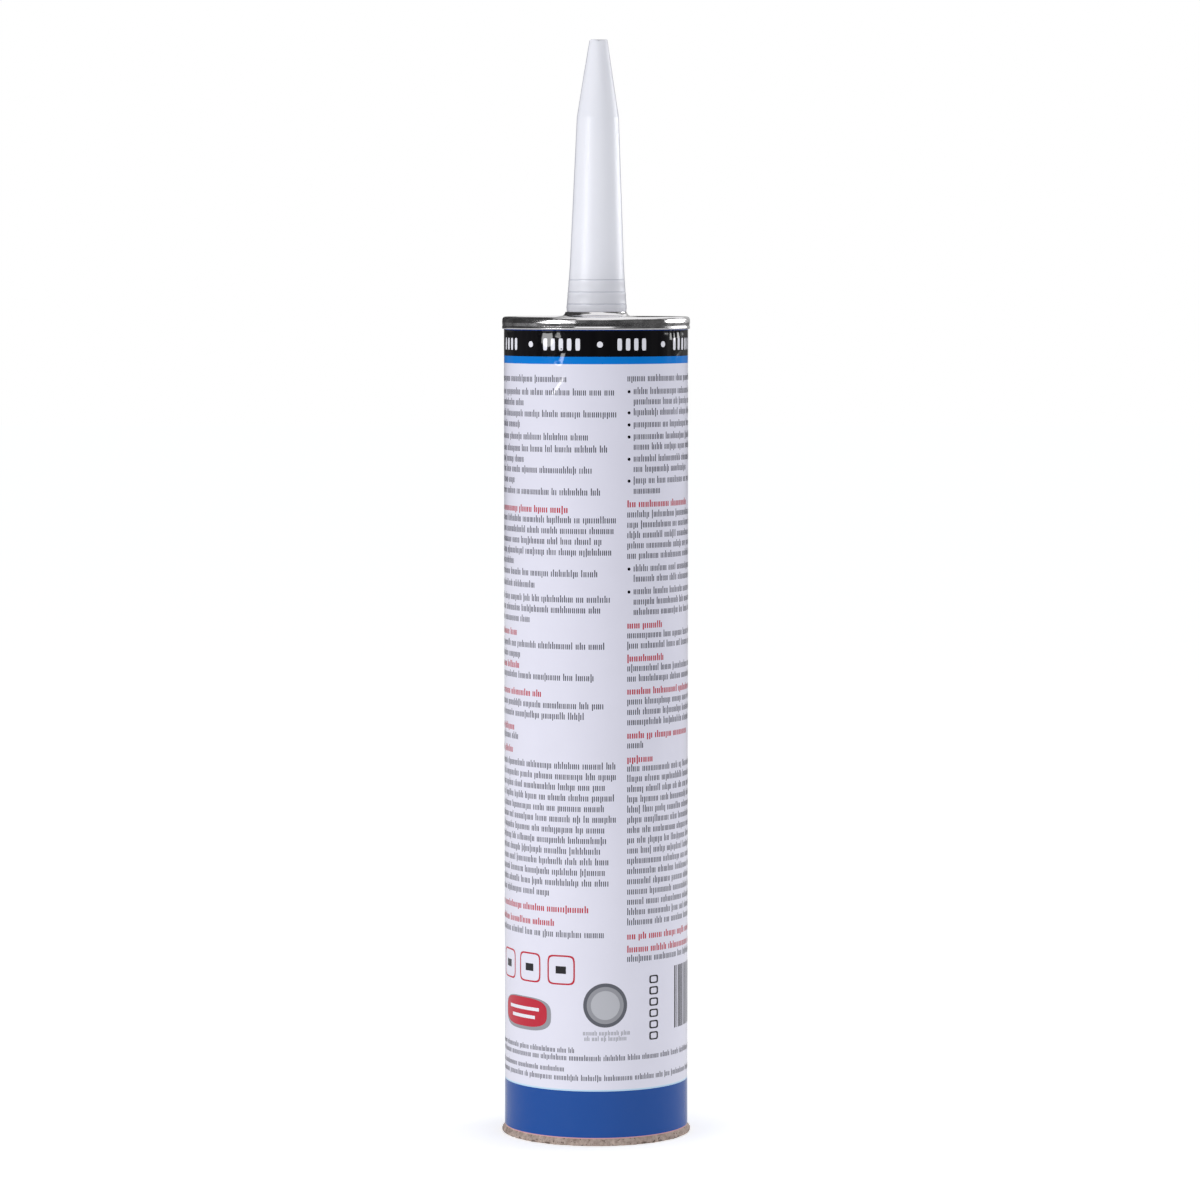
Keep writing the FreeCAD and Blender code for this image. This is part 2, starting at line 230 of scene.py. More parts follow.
class Shade:
    """A node-based material under construction."""

    def __init__(self, name, **settings):
        self.material = bpy.data.materials.new(name)
        self.material.use_nodes = True
        self.tree = self.material.node_tree
        self.shader = self.tree.nodes["Principled BSDF"]
        for socket, value in settings.items():
            self.shader.inputs[socket.replace("_", " ")].default_value = value
        self.place = self.add("ShaderNodeTexCoord").outputs["Object"]

    def add(self, kind, **settings):
        node = self.tree.nodes.new(kind)
        for name, value in settings.items():
            setattr(node, name, value)
        return node

    def join(self, start, end):
        self.tree.links.new(start, end)

    def stretched(self, x, y, z, source=None):
        """Place scaled unevenly along the axes."""
        mapping = self.add("ShaderNodeMapping", vector_type="POINT")
        mapping.inputs["Scale"].default_value = (x, y, z)
        self.join(source or self.place, mapping.inputs["Vector"])
        return mapping.outputs["Vector"]

    def flat_place(self):
        """Turns round the axis and length along the outline, from the mesh."""
        return self.add("ShaderNodeUVMap", uv_map="UVMap").outputs["UV"]

    def noise(self, scale, detail=3.0, roughness=0.5, source=None):
        node = self.add("ShaderNodeTexNoise")
        node.inputs["Scale"].default_value = scale
        node.inputs["Detail"].default_value = detail
        node.inputs["Roughness"].default_value = roughness
        self.join(source or self.place, node.inputs["Vector"])
        return node.outputs["Fac"]

    def remap(self, value, low, high, new_low, new_high):
        node = self.add("ShaderNodeMapRange")
        for socket, number in zip(("From Min", "From Max", "To Min", "To Max"),
                                  (low, high, new_low, new_high)):
            node.inputs[socket].default_value = number
        self.join(value, node.inputs["Value"])
        return node.outputs["Result"]

    def blend(self, factor, first, second, kind="MIX"):
        """Colour between two, each a constant or a socket."""
        node = self.add("ShaderNodeMix", data_type="RGBA", blend_type=kind)
        self.join(factor, node.inputs["Factor"])
        for socket, colour in ((node.inputs[6], first), (node.inputs[7], second)):
            if isinstance(colour, bpy.types.NodeSocket):
                self.join(colour, socket)
            else:
                socket.default_value = colour
        return node.outputs[2]

    def math(self, operation, first, second):
        node = self.add("ShaderNodeMath", operation=operation)
        for socket, value in zip(node.inputs, (first, second)):
            if isinstance(value, bpy.types.NodeSocket):
                self.join(value, socket)
            else:
                socket.default_value = value
        return node.outputs[0]

    def bump(self, height, distance, strength=1.0):
        """Fine relief of so many metres."""
        node = self.add("ShaderNodeBump")
        node.inputs["Distance"].default_value = distance
        node.inputs["Strength"].default_value = strength
        self.join(height, node.inputs["Height"])
        self.join(node.outputs["Normal"], self.shader.inputs["Normal"])

    def colour(self, socket):
        self.join(socket, self.shader.inputs["Base Color"])

    def roughness(self, socket):
        self.join(socket, self.shader.inputs["Roughness"])


def scaled(colour, factor):
    return tuple(min(1.0, part * factor) for part in colour[:3]) + (1.0,)


def printed_paper(name, colour):
    """Varnished label paper in one ink: faint mottle, soft gloss and a fine tooth."""
    shade = Shade(name, Coat_Weight=0.9, Coat_Roughness=0.10, Specular_IOR_Level=0.0)
    mottle = shade.noise(140, 4)
    cloud = shade.noise(28, 2)
    factor = shade.math("MULTIPLY", shade.math("ADD", mottle, cloud), 0.5)
    shade.colour(shade.blend(factor, scaled(colour, 0.955), scaled(colour, 1.035)))
    shade.roughness(shade.remap(cloud, 0.3, 0.7, 0.30, 0.38))
    shade.bump(shade.noise(2600, 3, 0.6), 0.000003, 0.5)
    return shade.material


def kraft_board(name):
    """Bare wound board: brown fibres, dark specks and a dull face."""
    shade = Shade(name, Specular_IOR_Level=0.25)
    fibres = shade.remap(shade.noise(900, 6, 0.65, shade.stretched(1, 1, 0.5)), 0.3, 0.7, 0.0, 1.0)
    cloud = shade.noise(120, 4)
    brown = shade.blend(fibres, srgb(130, 111, 101), srgb(204, 186, 176))
    worn = shade.blend(shade.remap(cloud, 0.35, 0.7, 0.0, 0.45), brown, srgb(178, 160, 151))
    specks = shade.remap(shade.noise(1100, 2, 0.4), 0.63, 0.68, 0.0, 0.85)
    speckled = shade.blend(specks, worn, srgb(70, 54, 46))
    # Dark patches only in the lowest millimetre of the foot, darker towards the bottom edge.
    foot_patches = shade.remap(shade.noise(700, 3, 0.6), 0.53, 0.60, 0.0, 1.0)
    height = shade.add("ShaderNodeSeparateXYZ")
    shade.join(shade.place, height.inputs["Vector"])
    low = shade.remap(height.outputs["Z"], 0.0003, 0.0011, 0.9, 0.0)
    shade.colour(shade.blend(shade.math("MULTIPLY", foot_patches, low), speckled, srgb(62, 48, 42)))
    shade.roughness(shade.remap(fibres, 0.3, 0.7, 0.75, 0.95))
    shade.bump(fibres, 0.00012, 0.8)
    return shade.material


def liner(name):
    """Foil-faced liner of the bore, with faint lines round it."""
    shade = Shade(name, Metallic=0.85, Coat_Weight=0.2)
    lines = shade.noise(60, 3, 0.5, shade.stretched(1, 1, 14))
    shade.colour(shade.blend(lines, srgb(176, 174, 170), srgb(206, 204, 200)))
    shade.roughness(shade.remap(lines, 0.3, 0.7, 0.34, 0.5))
    shade.bump(shade.noise(500, 3), 0.00003, 0.5)
    return shade.material


def tinplate(name):
    """Bright rolled tinplate with scuffs that run round the axis."""
    shade = Shade(name, Metallic=1.0)
    cloud = shade.noise(90, 4)
    streaks = shade.noise(1.0, 4, 0.6, shade.stretched(14, 900, 1, shade.flat_place()))
    shade.colour(shade.blend(cloud, srgb(224, 222, 224), srgb(242, 241, 243)))
    scuffs = shade.remap(streaks, 0.45, 0.75, 0.0, 0.08)
    shade.roughness(shade.math("ADD", shade.remap(cloud, 0.3, 0.7, 0.08, 0.14), scuffs))
    shade.bump(streaks, 0.000006, 0.5)
    return shade.material


def milky_plastic(name, colour, tooth=0.00001, rim=None):
    """Moulded low-density plastic, lit a little under its skin, with painted shade that greys it towards the
    rim colour where it turns away from view.
    """
    shade = Shade(name, Subsurface_Weight=0.12, Subsurface_Scale=0.002, IOR=1.5, Coat_Roughness=0.16)
    shade.shader.inputs["Subsurface Radius"].default_value = (1.0, 0.95, 0.9)
    cloud = shade.noise(160, 3, 0.5, shade.stretched(1, 1, 0.3))
    tone = shade.blend(cloud, scaled(colour, 0.965), scaled(colour, 1.02))
    facing = shade.add("ShaderNodeLayerWeight")
    facing.inputs["Blend"].default_value = 0.5
    turned = shade.remap(facing.outputs["Facing"], 0.68, 0.90, 0.0, 1.0)
    # Painted shade: the colour darkens towards the rim colour at the silhouette, where the surface turns
    # away from the view.
    shade.colour(shade.blend(turned, tone, rim or scaled(colour, 0.8)))
    shade.join(shade.remap(turned, 0.0, 1.0, 0.10, 0.02), shade.shader.inputs["Coat Weight"])
    shade.join(shade.remap(turned, 0.0, 1.0, 0.26, 0.08), shade.shader.inputs["Specular IOR Level"])
    shade.roughness(shade.remap(cloud, 0.3, 0.7, 0.30, 0.40))
    shade.bump(shade.noise(900, 3), tooth, 0.6)
    return shade.material


def foil(name):
    """Dull rolled foil of the inner seal."""
    shade = Shade(name, Metallic=1.0)
    grain = shade.noise(220, 3, 0.5, shade.stretched(1, 12, 1))
    shade.colour(shade.blend(grain, srgb(190, 190, 192), srgb(220, 220, 222)))
    shade.roughness(shade.remap(grain, 0.3, 0.7, 0.28, 0.4))
    shade.bump(grain, 0.00002, 0.4)
    return shade.material


def black_sealant(name):
    """Black pasty fill with a wet sheen."""
    shade = Shade(name, Coat_Weight=0.3)
    lumps = shade.noise(130, 3)
    shade.colour(shade.blend(lumps, srgb(20, 20, 22), srgb(34, 34, 36)))
    shade.roughness(shade.remap(lumps, 0.3, 0.7, 0.3, 0.5))
    shade.bump(lumps, 0.0004, 0.6)
    return shade.material


# Label surface

Crease = namedtuple("Crease", "arc level length width tilt depth")

# Folds in the label. The tilt is the fold's lean from upright, clockwise seen from outside.
CREASES = (
    Crease(-9.9, 211.0, 4.8, 1.25, 18, 0.24),
    Crease(-10.6, 203.9, 8.5, 1.1, 34, 0.11),
    Crease(-7.9, 187.6, 15.0, 1.1, 32, 0.11),
    Crease(-12.6, 196.0, 6.0, 0.9, -38, 0.045),
    Crease(27.6, 212.2, 5.0, 1.1, 62, 0.05),
    Crease(25.0, 206.0, 5.0, 0.8, -34, 0.06),
    Crease(-30.8, 216.6, 3.0, 0.6, 18, 0.08),
    Crease(44.0, 216.4, 3.4, 0.6, -14, 0.09),
    Crease(-46.0, 205.0, 9.0, 1.2, 32, 0.05),
    Crease(61.0, 201.0, 10.0, 1.1, -28, 0.05),
    Crease(66.0, 96.0, 14.0, 1.3, 24, 0.05),
)

Tuck = namedtuple("Tuck", "arc level lean rise half", defaults=[9.0])

# Flat facets that the seaming pressed into the label under the hook. Each starts at a point and
# widens upward to no more than its half width, and its lean is how much deeper it gets towards +X.
TUCKS = (
    Tuck(-13.6, 213.3, 0.0, 0.058, 1.9),
    Tuck(-10.4, 216.0, 0.03, 0.130, 0.8),
    Tuck(21.3, 216.4, 0.0, 0.09, 1.0),
    Tuck(23.3, 215.1, 0.0, 0.09, 0.7),
    Tuck(25.0, 214.9, 0.0, 0.09, 0.6),
    Tuck(27.0, 215.5, 0.0, 0.09, 0.8),
    Tuck(29.4, 216.0, 0.0, 0.09, 0.9),
    Tuck(4.8, 216.9, 0.0, 0.08),
    Tuck(-30.5, 215.8, 0.02, 0.07),
    Tuck(43.0, 214.8, -0.03, 0.05),
    Tuck(51.5, 216.0, 0.02, 0.09),
    Tuck(58.0, 213.9, 0.03, 0.045),
    Tuck(-44.5, 215.4, -0.02, 0.07),
    Tuck(-52.0, 213.8, 0.02, 0.04),
    Tuck(-61.0, 216.1, 0.03, 0.1),
    Tuck(-71.0, 215.0, 0.0, 0.06),
)
WAVE_DEPTH = 0.018
DEEPEST_TUCK = 0.22
TUCK_FLANK = 0.6
HOOK_PINCH = 0.26
CALM_FOOT = 217.3
CALM_TOP = 218.2


def crease_dip(crease, arc, level):
    """Depth of one crease: straight flanks across it, eased along it."""
    lean = math.radians(crease.tilt)
    along = (arc - crease.arc) * math.sin(lean) + (level - crease.level) * math.cos(lean)
    across = (arc - crease.arc) * math.cos(lean) - (level - crease.level) * math.sin(lean)
    flank = np.clip(1.0 - np.abs(across) / crease.width, 0.0, 1.0)
    fade = 1.0 - smooth_step(0.45, 1.0, np.abs(along) * 2 / crease.length)
    return crease.depth * flank * fade


def tuck_dip(tuck, arc, level):
    """Depth of one tuck: a plane that cuts off the roundness of the label."""
    aside = (arc - tuck.arc + HALF_GIRTH) % (2 * HALF_GIRTH) - HALF_GIRTH
    plane = tuck.lean * aside + tuck.rise * (level - tuck.level)
    flat = plane - aside * aside / (2 * LABEL_RADIUS)
    flank = TUCK_FLANK * (tuck.half - np.abs(aside))
    return np.clip(np.minimum(flat, flank), 0.0, DEEPEST_TUCK)


def label_radius(arc, level):
    """Radius of the label's face: faint waves, then tucks and creases, and the lap at the back.

    The waves fade out just below the hook, and the hook pinches the edge above that.
    """
    arc = np.asarray(arc, dtype=float)
    level = np.asarray(level, dtype=float)
    wave = np.sin(arc / 7.3 + level / 31) * np.sin(level / 19 + 1.1) + np.sin(arc / 4.1 - level / 23)
    radius = LABEL_RADIUS - WAVE_DEPTH * (1 + wave / 2) / 2
    for tuck in TUCKS:
        radius = np.minimum(radius, LABEL_RADIUS - tuck_dip(tuck, arc, level))
    for crease in CREASES:
        radius = radius - crease_dip(crease, arc, level)
    calm = smooth_step(CALM_FOOT, CALM_TOP, level)
    radius = radius * (1 - calm) + LABEL_RADIUS * calm
    radius = radius - HOOK_PINCH * smooth_step(HOOK_FOOT, HOOK_FOOT + 0.6, level)
    from_back = HALF_GIRTH - np.abs(arc)
    under_lap = (arc < 0) & (from_back <= LAP_HALF_WIDTH)
    ramp = 1 - smooth_step(LAP_HALF_WIDTH * 0.6, LAP_HALF_WIDTH, from_back)
    lap = np.where(arc > 0, ramp, np.where(under_lap, 1.0, 0.0))
    return radius + LAP_RISE * lap


def on_label(arc, level, lift=0.0):
    """Point of the label's face, a little proud of it by the lift."""
    radius = label_radius(arc, level) + lift
    angle = np.asarray(arc) / LABEL_RADIUS
    height = np.asarray(level, dtype=float)
    return np.stack((radius * np.sin(angle), -radius * np.cos(angle), height), -1)


def filled_steps(stops, longest):
    """Values from stop to stop with no step longer than given."""
    values = []
    for start, end, step in zip(stops[:-1], stops[1:], longest):
        count = max(1, math.ceil((end - start) / step))
        values.extend(np.linspace(start, end, count, endpoint=False))
    return np.array(values + [stops[-1]])


# The label's colours from the foot up, and the levels that part them
LABEL_COLOURS = ("cut", "blue", "pale", "white", "stripe", "black", "line")
COLOUR_TOPS = (CUT_EDGE_TOP, BLUE_BAND_TOP, PALE_LINE_TOP, STRIPE_FOOT, BLACK_BAND_FOOT, BLACK_BAND_TOP)
CREASED_FOOT = 177.5
CREASED_TOP = 193.8


def label_colour(level):
    """Which of the label's colours the face at this level has."""
    return sum(level > top for top in COLOUR_TOPS)


def make_label(materials):
    """Wrapped label as a closed shell, divided at the printed bands and finer where it creases."""
    level_stops = (LABEL_FOOT, CUT_EDGE_TOP, BLUE_BAND_TOP, PALE_LINE_TOP, CREASED_FOOT, CREASED_TOP,
                   STRIPE_FOOT, BLACK_BAND_FOOT, BLACK_BAND_TOP, HOOK_FOOT, LABEL_TOP)
    level_steps = (1.0, 3.0, 1.0, 3.2, 0.7, 0.4, 0.25, 0.2, 0.25, 0.9)
    levels = filled_steps(level_stops, level_steps)
    lap_edge = HALF_GIRTH - LAP_HALF_WIDTH
    arc_stops = (-HALF_GIRTH, -lap_edge, -lap_edge + 0.04, -16.0, -5.0, 20.0, 33.0, HALF_GIRTH)
    arc_steps = (0.4, 0.05, 0.4, 0.18, 0.4, 0.18, 0.4)
    arcs = filled_steps(arc_stops, arc_steps)
    arc, level = np.meshgrid(arcs, levels)
    face = on_label(arc, level)
    angle = arc / LABEL_RADIUS
    inside = np.minimum(LABEL_INSIDE, label_radius(arc, level) - PAPER_THICKNESS)
    back = np.stack((inside * np.sin(angle), -inside * np.cos(angle), level), -1)
    rows, columns = arc.shape
    outer = np.arange(rows * columns).reshape(rows, columns)
    inner = outer + rows * columns

    def quads(grid, flip=False):
        found = np.stack((grid[:-1, :-1], grid[:-1, 1:], grid[1:, 1:], grid[1:, :-1]), -1)
        found = found.reshape(-1, 4)
        return found[:, ::-1] if flip else found

    foot = quads(np.stack((inner[0], outer[0])))
    top = quads(np.stack((outer[-1], inner[-1])))
    faces = np.concatenate((quads(outer), quads(inner, flip=True), foot, top))
    tones = [label_colour(middle) for middle in (levels[:-1] + levels[1:]) / 2]
    plain = LABEL_COLOURS.index("white")
    cut = LABEL_COLOURS.index("cut")
    slots = np.concatenate((np.repeat(tones, columns - 1), np.full((rows - 1) * (columns - 1), plain),
                            np.full(columns - 1, cut), np.full(columns - 1, plain)))
    vertices = np.concatenate((face.reshape(-1, 3), back.reshape(-1, 3)))
    uv = np.stack((arc / HALF_GIRTH / 2 + 0.5, level / LABEL_TOP), -1).reshape(-1, 2)
    uv = np.concatenate((uv, uv))
    piece = make_mesh("label_paper", vertices, faces.tolist(), slots, uv[faces.ravel()], sharp=50)
    face_outward(piece)
    return dress(piece, "cartridge", materials, ["label_wrap"])


# Print

INKS = {
    "grey": srgb(46, 46, 60),
    "red": srgb(192, 34, 56),
    "black": srgb(26, 24, 30),
    "white": srgb(236, 236, 244),
    "pale": srgb(186, 187, 194),
    "silver": srgb(150, 151, 158),
    "steel": srgb(92, 94, 103),
}
INK_ORDER = tuple(INKS)


class Print:
    """Patches of ink that lie on the label, gathered for one mesh."""

    def __init__(self):
        self.vertices = []
        self.faces = []
        self.slots = []
        self.count = 0

    def sheet(self, arc, level, ink, lift=PRINT_LIFT):
        """Grid of points by arc and level, as one patch of ink."""
        rows, columns = arc.shape
        index = np.arange(rows * columns).reshape(rows, columns) + self.count
        quads = np.stack((index[:-1, :-1], index[:-1, 1:], index[1:, 1:], index[1:, :-1]), -1)
        quads = quads.reshape(-1, 4)
        self.vertices.append(on_label(arc, level, lift).reshape(-1, 3))
        self.faces.append(quads)
        self.slots.append(np.full(len(quads), INK_ORDER.index(ink)))
        self.count += rows * columns

    def bar(self, left, right, foot, top, ink, lift=PRINT_LIFT, step=0.9):
        """Upright rectangle."""
        across = np.linspace(left, right, max(2, math.ceil((right - left) / step) + 1))
        up = np.linspace(foot, top, max(2, math.ceil((top - foot) / 1.6) + 1))
        self.sheet(*np.meshgrid(across, up), ink, lift)

    def blob(self, arc, level, half_width, half_height, ink, power=2.0, hole=0.0, lift=PRINT_LIFT):
        """Rounded shape about a centre: an ellipse at power 2, squarer above it."""
        turn = np.linspace(0, 2 * math.pi, 97)
        cos, sin = np.cos(turn), np.sin(turn)
        reach = (np.abs(cos) ** power + np.abs(sin) ** power) ** (-1 / power)
        rings = max(2, math.ceil(max(half_width, half_height) * (1 - hole) / 0.8) + 1)
        share = np.linspace(1.0, hole if hole else 0.001, rings)[:, None]
        across = arc + half_width * cos * reach * share
        self.sheet(across, level + half_height * sin * reach * share, ink, lift)

    def finish(self, name, inks):
        piece = make_mesh(name, np.concatenate(self.vertices), np.concatenate(self.faces).tolist(),
                          np.concatenate(self.slots))
        return dress(piece, "cartridge", inks)


Passage = namedtuple("Passage", "top lines ink end dotted", defaults=[False])

LEFT_MARGIN = -46.0
RIGHT_MARGIN = 8.5
LEFT_PITCH = 2.85
RIGHT_PITCH = 2.75
LEFT_EDGE = 6.8
RIGHT_EDGE = 55.0
LETTER_HEIGHT = 1.34
TALLER = 0.55
LOWER = 0.40
STROKE = 0.25
BOLD_STROKE = 0.36
STROKE_GAP = 0.25
LETTER_GAP = 0.12
WORD_GAP = 0.62
DOT_INDENT = 1.8
DOT_RADIUS = 0.42

# Passages of small print: level of the first line, how many lines, ink and where the last ends
LEFT_PASSAGES = (
    Passage(204.9, 1, "grey", -6.5), Passage(201.4, 2, "grey", -22.9), Passage(195.6, 2, "grey", -23.9),
    Passage(189.5, 1, "grey", -2.4), Passage(186.3, 2, "grey", -22.2), Passage(180.7, 2, "grey", -26.0),
    Passage(174.9, 1, "grey", 1.0), Passage(170.2, 1, "red", -8.6), Passage(167.5, 5, "grey", -27.0),
    Passage(153.2, 1, "grey", 0.0), Passage(150.0, 1, "grey", -15.5), Passage(146.4, 3, "grey", -20.2),
    Passage(136.9, 1, "red", -26.1), Passage(133.9, 2, "grey", -24.0), Passage(128.1, 1, "red", -25.5),
    Passage(125.5, 1, "grey", 0.6), Passage(120.9, 1, "red", -15.5), Passage(118.0, 2, "grey", -3.2),
    Passage(111.3, 1, "red", -26.1), Passage(108.9, 1, "grey", -26.1), Passage(105.2, 1, "red", -27.2),
    Passage(101.9, 13, "grey", -14.5), Passage(63.4, 1, "red", -0.5), Passage(59.6, 1, "red", -12.6),
    Passage(56.7, 1, "grey", 1.1),
)
RIGHT_PASSAGES = (
    Passage(205.1, 1, "grey", 54), Passage(201.7, 2, "grey", 44, True), Passage(196.1, 1, "grey", 52, True),
    Passage(192.9, 1, "grey", 53, True), Passage(189.7, 2, "grey", 41, True),
    Passage(183.8, 2, "grey", 33, True), Passage(178.0, 2, "grey", 17.5, True),
    Passage(171.7, 1, "red", 34), Passage(169.0, 5, "grey", 40), Passage(154.6, 2, "grey", 47, True),
    Passage(148.5, 3, "grey", 44, True), Passage(139.4, 1, "red", 19.8), Passage(136.8, 2, "grey", 45),
    Passage(130.6, 1, "red", 20.2), Passage(128.0, 2, "grey", 37), Passage(121.8, 1, "red", 42),
    Passage(119.1, 3, "grey", 36), Passage(110.0, 1, "red", 33), Passage(107.4, 1, "grey", 15.8),
    Passage(103.6, 1, "red", 15.6), Passage(101.2, 16, "grey", 40), Passage(56.1, 1, "red", 47),
    Passage(52.6, 1, "red", 41), Passage(50.1, 1, "grey", 50),
)


def print_line(label_print, draw, start, end, level, ink, size=1.0):
    """Line of small print as words of upright strokes, with no lettering."""
    arc = start
    stroke = size * (BOLD_STROKE if ink == "red" else STROKE)
    tall = LETTER_HEIGHT * size
    while arc < end - 2 * size:
        for _ in range(draw.randint(2, 9)):
            top = level + tall / 2 + (TALLER * size if draw.random() < 0.3 else 0.0)
            foot = level - tall / 2 - (LOWER * size if draw.random() < 0.1 else 0.0)
            for _ in range(draw.choice((1, 2, 2, 2, 3))):
                label_print.bar(arc, arc + stroke, foot, top, ink)
                arc += stroke + STROKE_GAP * size
                top = level + tall / 2
                foot = level - tall / 2
            arc += LETTER_GAP * size
            if arc > end:
                break
        arc += WORD_GAP * size


def print_column(label_print, draw, margin, edge, pitch, passages):
    """Column of passages whose lines end unevenly near the edge."""
    for passage in passages:
        start = margin
        if passage.dotted:
            label_print.blob(margin + 0.45, passage.top, DOT_RADIUS, DOT_RADIUS, "black")
            start += DOT_INDENT
        for line in range(passage.lines):
            last = line == passage.lines - 1
            end = passage.end if last else edge - draw.uniform(0.3, 6.5)
            print_line(label_print, draw, start, end, passage.top - pitch * line, passage.ink)


def wrap(arc):
    """Arc brought back to the half girth either side of the front."""
    return (arc + HALF_GIRTH) % (2 * HALF_GIRTH) - HALF_GIRTH


BAND_REPEATS = 4
BAND_MIDDLE = 214.2
BAND_START = -19.2
BAND_DOT_RADIUS = 0.8
BLOCK_WIDTH = 1.25
BLOCK_HALF_HEIGHT = 1.6
BLOCK_PITCH = 2.35
BLOCK_ROWS = ((4.3, 5), (24.9, 4))


def print_black_band(label_print):
    """Dots between rows of upright blocks, repeated round the black band."""
    period = 2 * HALF_GIRTH / BAND_REPEATS
    for turn in range(BAND_REPEATS):
        start = BAND_START - period + turn * period
        for dot in (0.0, period / 2 + 0.7):
            label_print.blob(wrap(start + dot), BAND_MIDDLE, BAND_DOT_RADIUS, BAND_DOT_RADIUS, "white")
        for first, blocks in BLOCK_ROWS:
            for block in range(blocks):
                middle = wrap(start + first + block * BLOCK_PITCH) + BLOCK_WIDTH / 2
                label_print.blob(middle, BAND_MIDDLE, BLOCK_WIDTH / 2, BLOCK_HALF_HEIGHT, "white", 5.0)


# Marks in the lower part of the label: places are (arc, level), and sizes are half sizes
SQUARE_ARCS = (-30.4, -20.0, -9.7)
SQUARE_LEVEL = 47.2
SQUARE_HALF = 4.0
BADGE = (-22.9, 34.9)
BADGE_HALF = (9.0, 3.9)
BADGE_SHADE = (-22.4, 34.6)
BADGE_SHADE_HALF = (9.8, 4.5)
BADGE_BARS = ((35.9, 6.4), (33.7, 5.0))
DISC = (2.5, 37.9)
DISC_RINGS = ((5.95, "steel"), (5.0, "silver"), (3.9, "pale"))
DISC_LINES = ((30.3, 6.0), (28.8, 5.6))
TALLY = (16.7, 29.0)
TALLY_PITCH = 3.05
BARS_LEFT, BARS_RIGHT = 25.1, 45.0
BARS_FOOT, BARS_TOP = 30.1, 47.0
FOOT_LINES = ((25.5, -44, -5.7, 0.8), (23.5, -44, 47, 0.85), (20.4, -44, -7.8, 0.8), (18.1, -44, 47, 0.85))


def print_marks(label_print, draw):
    """Hollow squares, a badge, a disc, hollow blocks, bars and the last lines of small print."""
    for arc in SQUARE_ARCS:
        label_print.blob(arc, SQUARE_LEVEL, SQUARE_HALF, SQUARE_HALF, "red", 6.0, hole=0.89)
        label_print.bar(arc - 1.5, arc + 1.5, SQUARE_LEVEL - 1.0, SQUARE_LEVEL + 1.0, "black")
    label_print.blob(*BADGE_SHADE, *BADGE_SHADE_HALF, "silver", 3.2)
    label_print.blob(*BADGE, *BADGE_HALF, "red", 3.2, lift=2 * PRINT_LIFT)
    for level, half in BADGE_BARS:
        left, right = BADGE[0] - half, BADGE[0] + half
        label_print.bar(left, right, level - 0.45, level + 0.45, "white", 3 * PRINT_LIFT)
    for layer, (radius, ink) in enumerate(DISC_RINGS, start=1):
        label_print.blob(*DISC, radius, radius, ink, lift=layer * PRINT_LIFT)
    for level, half in DISC_LINES:
        print_line(label_print, draw, DISC[0] - half, DISC[0] + half, level, "silver", size=0.7)
    for block in range(6):
        level = TALLY[1] + block * TALLY_PITCH
        label_print.blob(TALLY[0], level, 1.5, 1.1, "black", 5.0, hole=0.66)
    arc = BARS_LEFT
    while arc < BARS_RIGHT:
        width = draw.choice((0.3, 0.3, 0.6, 0.9))
        label_print.bar(arc, arc + width, BARS_FOOT, BARS_TOP, "black")
        arc += width + draw.choice((0.35, 0.35, 0.7))
    for level, start, end, size in FOOT_LINES:
        print_line(label_print, draw, start, end, level, "grey", size)


def make_print(inks):
    """All the ink on the label's bands and white field."""
    draw = random.Random(7)
    label_print = Print()
    print_black_band(label_print)
    print_column(label_print, draw, LEFT_MARGIN, LEFT_EDGE, LEFT_PITCH, LEFT_PASSAGES)
    print_column(label_print, draw, RIGHT_MARGIN, RIGHT_EDGE, RIGHT_PITCH, RIGHT_PASSAGES)
    print_marks(label_print, draw)
    return label_print.finish("label_print", inks)


# Board tube

BORE_RADIUS = 23.45
BOARD_RADIUS = 24.78
FOOT_RADIUS = board_hi.x
FLARE_HEIGHT = 1.7
FIRST_PLY = 24.25
PLY = 0.24
# Angle and half width of each nick in the foot's edge
FOOT_NICKS = (
    (-61.0, 1.1), (-17.5, 0.8), (-9.0, 1.6), (34.0, 0.7), (96.0, 1.4), (171.0, 1.2), (-128.0, 0.9),
)


def make_board(materials):
    """Wound board tube: bare cut foot with its plies, and the lined bore."""
    top = board_hi.z
    plies = []
    for ply in range(4):
        reach = FIRST_PLY + ply * PLY
        plies += [(reach, 0.0, 0.0), (reach + 0.17, 0.0, 0.0), (reach + 0.205, 0.07, 0.0)]
    outline = rounded(
        [(BORE_RADIUS, FLARE_HEIGHT + 0.4, 0.0), (24.1, 0.12, 0.2)] + plies
        + [(FOOT_RADIUS - 0.25, 0.0, 0.0), (FOOT_RADIUS, 0.25, 0.1), (FOOT_RADIUS - 0.04, 0.85, 0.15),
           (BOARD_RADIUS + 0.05, FLARE_HEIGHT, 0.2), (BOARD_RADIUS, 2.3, 0.0), (BOARD_RADIUS, 4.0, 0.0),
           (BOARD_RADIUS - 0.35, 5.0, 0.0), (BOARD_RADIUS - 0.35, top, 0.0),
           (BORE_RADIUS, top, 0.0)], steps=4)

    def frayed(radius, angle, height):
        near_foot = 1 - smooth_step(0.5, 2.6, height)
        ruffle = np.sin(angle * 23) * np.sin(angle * 41 + 1.3) + 0.6 * np.sin(angle * 67 + 0.4)
        outside = smooth_step(24.0, 25.2, radius)
        lowered = 0.08 * near_foot * outside * (ruffle - 1.6)
        for nick, half in FOOT_NICKS:
            lowered -= 0.35 * near_foot * outside * np.exp(-((np.degrees(angle) - nick) / half) ** 2)
        raised = 0.05 * near_foot * (1 + np.sin(angle * 31) * np.sin(angle * 53 + 0.7))
        return radius + lowered, height + np.where(height < 0.3, raised, 0.0)

    def bands(level, reach):
        return 1 if reach < BORE_RADIUS + 0.1 else 0

    piece = spin("board_tube", outline, frayed, bands)
    return dress(piece, "cartridge", materials, ["fibre_tube"])


# Seamed end

